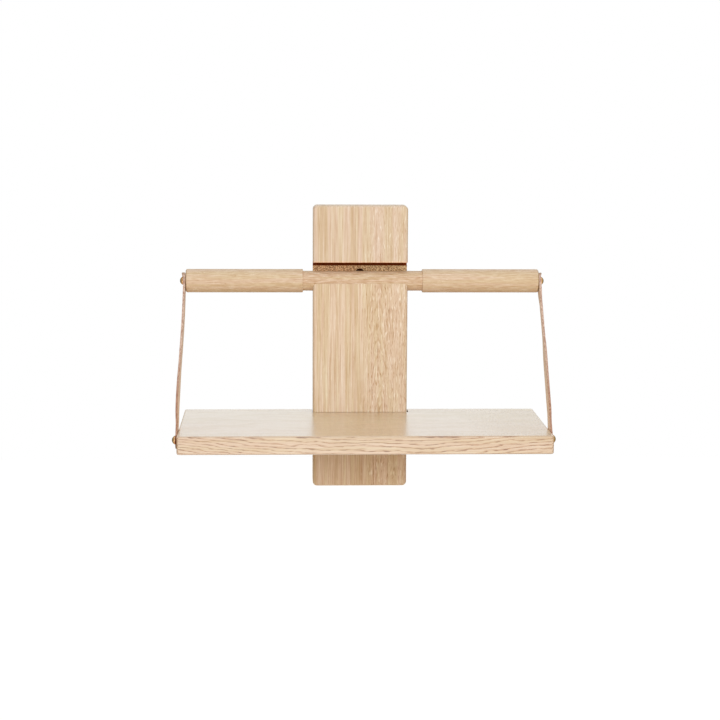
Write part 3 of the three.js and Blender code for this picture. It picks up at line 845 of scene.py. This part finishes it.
def hanger_rod():
    """Turned thinner in the middle, rounded at its ends and bored for the inserts."""
    end_radius = NECK_RADIUS + ROD_SHOULDER
    neck, end = ROD_NECK_LENGTH / 2, ROD_HALF_LENGTH
    shoulder_middle = (end_radius - ROD_SHOULDER_ROUND, neck + ROD_SHOULDER_ROUND)
    end_middle = (end_radius - ROD_END_ROUND, end - ROD_END_ROUND)
    right = [(NECK_RADIUS, neck)]
    right += arc(*shoulder_middle, ROD_SHOULDER_ROUND, -QUARTER_TURN, 0)
    right += arc(*end_middle, ROD_END_ROUND, 0, QUARTER_TURN)
    right += [
        (INSERT_HOLE_RADIUS, end),
        (INSERT_HOLE_RADIUS, end - INSERT_HOLE_DEPTH),
        (0, end - INSERT_HOLE_DEPTH),
    ]
    left = [(radius, -place) for radius, place in reversed(right)]
    shape = moved(turned(left + right, TURNED_STEPS), Matrix.Translation(ROD_CENTRE))
    return smoothed(new_object("hanger_rod_oak", shape))


# Shelf board


def shelf_board():
    """Notched around the back board, with rounded edges and a bore for an insert at each end."""
    r, inner = SHELF_CORNER_RADIUS, NOTCH_INNER_RADIUS
    left, right = SHELF_LOW.x, SHELF_HIGH.x
    front, rear = SHELF_LOW.y, SHELF_HIGH.y
    notch_left, notch_right = SHELF_CENTRE_X - NOTCH_HALF_WIDTH, SHELF_CENTRE_X + NOTCH_HALF_WIDTH
    mouth, notch_share = NOTCH_MOUTH_RADIUS, NOTCH_ROUND_SHARE
    corners = [
        corner(right - r, rear - r, r, 0),
        corner(notch_right + mouth, rear - mouth, mouth, 1, False, notch_share),
        corner(notch_right - inner, NOTCH_Y + inner, inner, 4, True, notch_share),
        corner(notch_left + inner, NOTCH_Y + inner, inner, 3, True, notch_share),
        corner(notch_left - mouth, rear - mouth, mouth, 0, False, notch_share),
        corner(left + r, rear - r, r, 1),
        corner(left + r, front + r, r, 2),
        corner(right - r, front + r, r, 3),
    ]
    plate = rounded_plate(corners, SHELF_HIGH.z - SHELF_LOW.z, SHELF_EDGE_ROUND, SHELF_EDGE_ROUND)
    shelf = new_object("shelf_board_oak", moved(plate, Matrix.Translation((0, 0, SHELF_LOW.z))))
    inside, outside = SHELF_HALF_WIDTH - INSERT_HOLE_DEPTH, SHELF_HALF_WIDTH + CUT_OVERRUN
    bores = []
    for side in (-1, 1):
        ends = sorted((SHELF_CENTRE_X + side * inside, SHELF_CENTRE_X + side * outside))
        bores.append(bore(*ends, INSERT_HOLE_RADIUS, LOWER_SCREW_Y, SHELF_MIDDLE_Z))
    return smoothed(cut(shelf, bores))


# Straps


def new_geometry_tree(name, sockets):
    """A Geometry Nodes tree with a mesh in, a mesh out and the named inputs, and those inputs by name."""
    group = bpy.data.node_groups.new(name, "GeometryNodeTree")
    group.interface.new_socket("Geometry", in_out="OUTPUT", socket_type="NodeSocketGeometry")
    group.interface.new_socket("Geometry", in_out="INPUT", socket_type="NodeSocketGeometry")
    for socket_name, kind in sockets.items():
        group.interface.new_socket(socket_name, in_out="INPUT", socket_type=kind)
    tree = Tree(group)
    first = tree.add("NodeGroupInput")
    return tree, {output.name: Value(tree, output) for output in first.socket.node.outputs if output.name}


def keep_place(tree, geometry, name, *place):
    """Stores a place, in millimetres, on the geometry's points for its material."""
    inputs = {"Geometry": geometry, "Name": name, "Value": tree.vector(*(axis * (1 / MM) for axis in place))}
    settings = {"data_type": "FLOAT_VECTOR", "domain": "POINT"}
    return tree.add("GeometryNodeStoreNamedAttribute", settings, inputs)


def end_tree(tree, geometry, material):
    """Ends a tree in Realize Instances and Set Material."""
    real = tree.add("GeometryNodeRealizeInstances", None, {"Geometry": geometry})
    dressed = tree.add("GeometryNodeSetMaterial", None, {"Geometry": real, "Material": material})
    tree.add("NodeGroupOutput", None, {0: dressed})


def run_tree(piece, tree, values):
    """Sets a tree's inputs on the piece by their identifiers and works the result into its mesh."""
    modifier = piece.modifiers.new(tree.tree.name, "NODES")
    modifier.node_group = tree.tree
    for item in tree.tree.interface.items_tree:
        if item.in_out == "INPUT" and item.name in values:
            modifier[item.identifier] = values[item.name]
    return applied(piece)


STRAP_NUMBERS = (
    "Side",
    "Drift",
    "Flare",
    "Upper Twist",
    "Lower Twist",
    "Twist Change Start",
    "Twist Change End",
    "Bow",
    "Bow Place",
    "Run",
    "Straight Stretch",
    "Pressed Stretch",
    "Tip",
)


def strap_tree():
    """Bends a flat strap along its way: flared at the tip, pressed flat at its screws, and between them
    drifting sideways, bowed out and turned a little. The flat strap's X is its thickness, Y its width, and it
    hangs to -Z."""
    sockets = dict.fromkeys(STRAP_NUMBERS, "NodeSocketFloat")
    sockets.update(dict.fromkeys(("Place", "Turn"), "NodeSocketVector"), Material="NodeSocketMaterial")
    tree, given = new_geometry_tree("bent_strap", sockets)
    layer, across, height = tree.parts(tree.add("GeometryNodeInputPosition"))
    run = 0 - height
    marked = keep_place(tree, given["Geometry"], "strap_place", layer, across, run)
    straight = given["Straight Stretch"]
    free_end = given["Run"] - straight
    drift = given["Drift"] * tree.smooth(run, straight, free_end)
    rise = tree.math("MAXIMUM", (height - FLARE_START) / (given["Tip"] - FLARE_START), 0)
    flare = given["Flare"] * rise**FLARE_POWER
    pressed = given["Pressed Stretch"]
    release = given["Run"] - pressed
    peak = given["Bow Place"] * given["Run"]
    bow = given["Bow"] * tree.smooth(run, pressed, peak) * tree.fade(run, peak, release)
    lower = tree.smooth(run, given["Twist Change Start"], given["Twist Change End"])
    held = tree.smooth(run, pressed, straight) * tree.fade(run, free_end, release)
    twist = (given["Upper Twist"] * (1 - lower) + given["Lower Twist"] * lower) * held
    sine, cosine = tree.math("SINE", twist), tree.math("COSINE", twist)
    from_middle = layer - STRAP_THICKNESS / 2
    out = from_middle * cosine + across * sine + flare + bow + (FIT_GAP + STRAP_THICKNESS / 2)
    width = across * cosine - from_middle * sine
    spot = tree.vector(given["Side"] * out + drift, given["Side"] * width, height)
    bent = tree.add("GeometryNodeSetPosition", None, {"Geometry": marked, "Position": spot})
    placing = {"Geometry": bent, "Translation": given["Place"], "Rotation": given["Turn"]}
    placed = tree.add("GeometryNodeTransform", None, placing)
    end_tree(tree, placed, given["Material"])
    return tree


def flat_strap(name):
    """A round-ended strip with its holes, sliced across so that it can bend."""
    radius = STRAP_WIDTH / 2
    top, bottom = STRAP_END_EXTRA, -STRAP_RUN - STRAP_END_EXTRA
    corners = [corner(0, y, radius, quarter) for quarter, y in enumerate((top, top, bottom, bottom))]
    shape = rounded_plate(corners, STRAP_THICKNESS, STRAP_EDGE_ROUND, STRAP_EDGE_ROUND)
    bmesh.ops.remove_doubles(shape, verts=shape.verts, dist=MERGE_REACH)
    height = top
    while height > bottom:
        geometry = shape.verts[:] + shape.edges[:] + shape.faces[:]
        bmesh.ops.bisect_plane(shape, geom=geometry, plane_co=(0, height, 0), plane_no=(0, 1, 0))
        height -= STRAP_SLICE
    # The plate's thickness goes to X, its width to Y and its length to Z
    lay_up = Matrix(((0, 0, 1, 0), (1, 0, 0, 0), (0, 1, 0, 0), (0, 0, 0, 1)))
    strip = new_object(name, moved(shape, lay_up))
    reach = STRAP_THICKNESS + CUT_OVERRUN
    bores = [bore(-CUT_OVERRUN, reach, SHANK_HOLE_RADIUS, 0, z) for z in (0, -STRAP_RUN)]
    return cut(strip, bores)


def strap(
    name, tree, material, side, upper_twist_deg, lower_twist_deg, twist_place_share, bow, bow_place_share
):
    """One strap. Its upper twist gives way to the lower one at twist_place_share of the way down."""
    rod_end = ROD_CENTRE_X + side * ROD_HALF_LENGTH
    shelf_end = SHELF_CENTRE_X + side * SHELF_HALF_WIDTH
    values = {
        "Side": float(side),
        "Drift": shelf_end - rod_end,
        "Flare": STRAP_TIP_FLARE,
        "Upper Twist": math.radians(upper_twist_deg),
        "Lower Twist": math.radians(lower_twist_deg),
        "Twist Change Start": (twist_place_share - TWIST_CHANGE_SHARE / 2) * STRAP_RUN,
        "Twist Change End": (twist_place_share + TWIST_CHANGE_SHARE / 2) * STRAP_RUN,
        "Bow": bow,
        "Bow Place": bow_place_share,
        "Run": STRAP_RUN,
        "Straight Stretch": STRAP_FLAT,
        "Pressed Stretch": STRAP_PRESSED,
        "Tip": STRAP_TIP,
        "Place": (rod_end, ROD_CENTRE_Y, ROD_CENTRE_Z),
        "Turn": (-STRAP_TILT, 0.0, 0.0),
        "Material": material,
    }
    return smoothed(run_tree(flat_strap(name), tree, values))


# Dome-head screws


def blank_screw(name):
    """A screw along X with its head's seat at 0, its shank to -X and a slot across its dome."""
    head, shank = SCREW_HEAD_DIAMETER / 2, SCREW_SHANK_DIAMETER / 2
    point = -HEAD_SEAT - INSERT_SUNK - SCREW_REACH
    dome_radius = (head**2 + SCREW_DOME**2) / (2 * SCREW_DOME)
    dome_angle = math.asin(head / dome_radius)
    centre = SCREW_HEAD_RIM + SCREW_DOME - dome_radius
    points = [(0, point), (shank - SCREW_POINT, point), (shank, point + SCREW_POINT), (shank, 0)]
    points += arc(head - SCREW_RIM_ROUND, SCREW_RIM_ROUND, SCREW_RIM_ROUND, -QUARTER_TURN, 0)
    for step in range(DOME_STEPS):
        angle = dome_angle * (1 - step / DOME_STEPS)
        points.append((dome_radius * math.sin(angle), centre + dome_radius * math.cos(angle)))
    points.append((0, SCREW_HEAD_RIM + SCREW_DOME))
    screw = new_object(name, turned(points, SMALL_TURNED_STEPS))
    floor = SCREW_HEAD_RIM + SCREW_DOME - SLOT_DEPTH
    reach, half_slot = head + CUT_OVERRUN, SLOT_WIDTH / 2
    section = [(-reach, -half_slot), (reach, -half_slot), (reach, half_slot), (-reach, half_slot)]
    slot = moved(extruded(section, 2 * CUT_OVERRUN), Matrix.Translation((floor + CUT_OVERRUN, 0, 0)))
    return smoothed(cut(screw, [new_object("slot", slot)]))


def screw_tree():
    """Puts a screw at each end of a span, pointing outwards, with its slot at any angle."""
    sockets = {
        "Half Span": "NodeSocketFloat",
        "Centre": "NodeSocketVector",
        "Seed": "NodeSocketInt",
        "Material": "NodeSocketMaterial",
    }
    tree, given = new_geometry_tree("screw_pair", sockets)
    along, y, z = tree.parts(tree.add("GeometryNodeInputPosition"))
    marked = keep_place(tree, given["Geometry"], "screw_place", along, y, z)
    left, right = tree.vector(0 - given["Half Span"], 0, 0), tree.vector(given["Half Span"], 0, 0)
    span = {"Count": 2, "Start Location": left, "Offset": right}
    ends = tree.add("GeometryNodeMeshLine", {"mode": "END_POINTS"}, span)
    index = tree.add("GeometryNodeInputIndex")
    half_turn = {2: 0.0, 3: math.pi, "ID": index, "Seed": given["Seed"]}
    turn = tree.add("FunctionNodeRandomValue", {"data_type": "FLOAT"}, half_turn, output=1)
    facing = tree.vector(turn, 0, (1 - index) * math.pi)
    standing = {"Points": ends, "Instance": marked, "Rotation": facing}
    pair = tree.add("GeometryNodeInstanceOnPoints", None, standing)
    placed = tree.add("GeometryNodeTransform", None, {"Geometry": pair, "Translation": given["Centre"]})
    end_tree(tree, placed, given["Material"])
    return tree


def screw_pair(name, centre, half_span, seed, tree, material):
    values = {"Half Span": half_span + HEAD_SEAT, "Centre": centre, "Seed": seed, "Material": material}
    return run_tree(blank_screw(name), tree, values)


# Pieces on their bodies


def dress(piece, body, slot, *nodes):
    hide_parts(*nodes)
    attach(piece, body)


def wear(piece, material):
    piece.data.materials.clear()
    piece.data.materials.append(material)
    return piece


leather_finish = leather()
brass_finish = dome_brass()
insert_finish = insert_brass()

dress(wear(back_board(), board_wood()), "board", "oak_board", "back_board")
dress(wear(hanger_rod(), rod_wood()), "rod", "oak_rod", "hanger_rod")
dress(wear(shelf_board(), shelf_wood()), "shelf", "oak_shelf", "shelf_board")

bending = strap_tree()
for side_name, bends in STRAP_BENDS.items():
    band = strap(f"strap_{side_name}_leather", bending, leather_finish, **bends)
    dress(band, f"{side_name}_strap", "leather", f"strap_{side_name}")

pairing = screw_tree()
shelf_centre = (SHELF_CENTRE_X, LOWER_SCREW_Y, SHELF_MIDDLE_Z)
screw_plans = (
    ("rod", ROD_CENTRE, ROD_HALF_LENGTH, ROD_SLOTS_SEED),
    ("shelf", shelf_centre, SHELF_HALF_WIDTH, SHELF_SLOTS_SEED),
)
for body, centre, half_span, seed in screw_plans:
    pair = screw_pair(f"{body}_screws_brass", centre, half_span, seed, pairing, brass_finish)
    dress(pair, body, "brass", f"{body}_screw_left", f"{body}_screw_right")
    for side_name in ("left", "right"):
        wear(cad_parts[f"{body}_insert_{side_name}"], insert_finish)


# Floor, light and camera

FLOOR_Z = -0.9
FLOOR_REACH = 4.0
FLOOR_BEIGE = (0.7, 0.55, 0.38, 1.0)
FLOOR_GLOW = (0.62, 0.69, 0.77, 1.0)
WHITE = (1, 1, 1, 1)
WORLD_LIGHT = 0.6
KEY_PLACE = (0.1, -2.75, 0.95)
KEY_TARGET = (0, -0.05, 0)
KEY_SIZE = 1.5
KEY_POWER = 40.5
CAMERA_PLACE = Vector((-85.6, -2151.4, 278.4)) * MM
CAMERA_YAW = math.radians(2.303)
CAMERA_PITCH = math.radians(7.84)
CAMERA_ROLL = math.radians(0.257)
CAMERA_LENS = 94.73
CAMERA_CLIP_END = 50


def seen_directly(tree):
    """1 for rays from the camera, off gloss and through glass, 0 for the light on the object."""
    rays = tree.add("ShaderNodeLightPath").socket.node.outputs
    camera, glossy, transmission = (
        Value(tree, rays[name]) for name in ("Is Camera Ray", "Is Glossy Ray", "Is Transmission Ray")
    )
    return tree.math("MINIMUM", camera + glossy + transmission, 1)


def white_world():
    world = bpy.data.worlds.new("studio")
    world.use_nodes = True
    bpy.context.scene.world = world
    tree = Tree(world.node_tree)
    world.node_tree.nodes.clear()
    soft = tree.add("ShaderNodeBackground", None, {"Color": WHITE, "Strength": WORLD_LIGHT})
    white = tree.add("ShaderNodeBackground", None, {"Color": WHITE, "Strength": 1.0})
    both = tree.add("ShaderNodeMixShader", None, {0: seen_directly(tree), 1: soft, 2: white})
    tree.add("ShaderNodeOutputWorld", None, {"Surface": both})


def pale_floor():
    shape = bmesh.new()
    bmesh.ops.create_grid(shape, x_segments=1, y_segments=1, size=FLOOR_REACH)
    floor = new_object("floor", moved(shape, Matrix.Translation((0, 0, FLOOR_Z))))
    cover = Finish("floor_white")
    paint = cover.add("ShaderNodeBsdfDiffuse", None, {"Color": FLOOR_BEIGE})
    glow = cover.add("ShaderNodeEmission", None, {"Color": FLOOR_GLOW, "Strength": seen_directly(cover)})
    both = cover.add("ShaderNodeAddShader", None, {0: paint, 1: glow})
    clear = cover.add("ShaderNodeBsdfTransparent")
    from_below = cover.add("ShaderNodeNewGeometry", output="Backfacing")
    seen = cover.add("ShaderNodeMixShader", None, {0: from_below, 1: both, 2: clear})
    cover.add("ShaderNodeOutputMaterial", None, {"Surface": seen})
    wear(floor, cover.material)


def lamp(name, place, target, size, power):
    light = bpy.data.lights.new(name, "AREA")
    light.shape = "DISK"
    light.size = size
    light.energy = power
    holder = bpy.data.objects.new(name, light)
    holder.visible_glossy = False
    holder.location = place
    aim = Vector(target) - Vector(place)
    holder.rotation_euler = aim.to_track_quat("-Z", "Y").to_euler()
    bpy.context.scene.collection.objects.link(holder)


def camera():
    yaw, pitch, roll = CAMERA_YAW, CAMERA_PITCH, CAMERA_ROLL
    forward = Vector((math.sin(yaw) * math.cos(pitch), math.cos(yaw) * math.cos(pitch), -math.sin(pitch)))
    level_right = Vector((math.cos(yaw), -math.sin(yaw), 0))
    level_up = level_right.cross(forward)
    right = level_right * math.cos(roll) + level_up * math.sin(roll)
    up = level_up * math.cos(roll) - level_right * math.sin(roll)
    view = bpy.data.cameras.new("camera")
    view.lens = CAMERA_LENS
    view.clip_end = CAMERA_CLIP_END
    holder = bpy.data.objects.new("camera", view)
    turn = Matrix((right, up, -forward)).transposed().to_4x4()
    holder.matrix_world = Matrix.Translation(CAMERA_PLACE) @ turn
    bpy.context.scene.collection.objects.link(holder)
    bpy.context.scene.camera = holder


white_world()
pale_floor()
lamp("key", KEY_PLACE, KEY_TARGET, KEY_SIZE, KEY_POWER)
camera()
bpy.context.scene.view_settings.view_transform = "Standard"
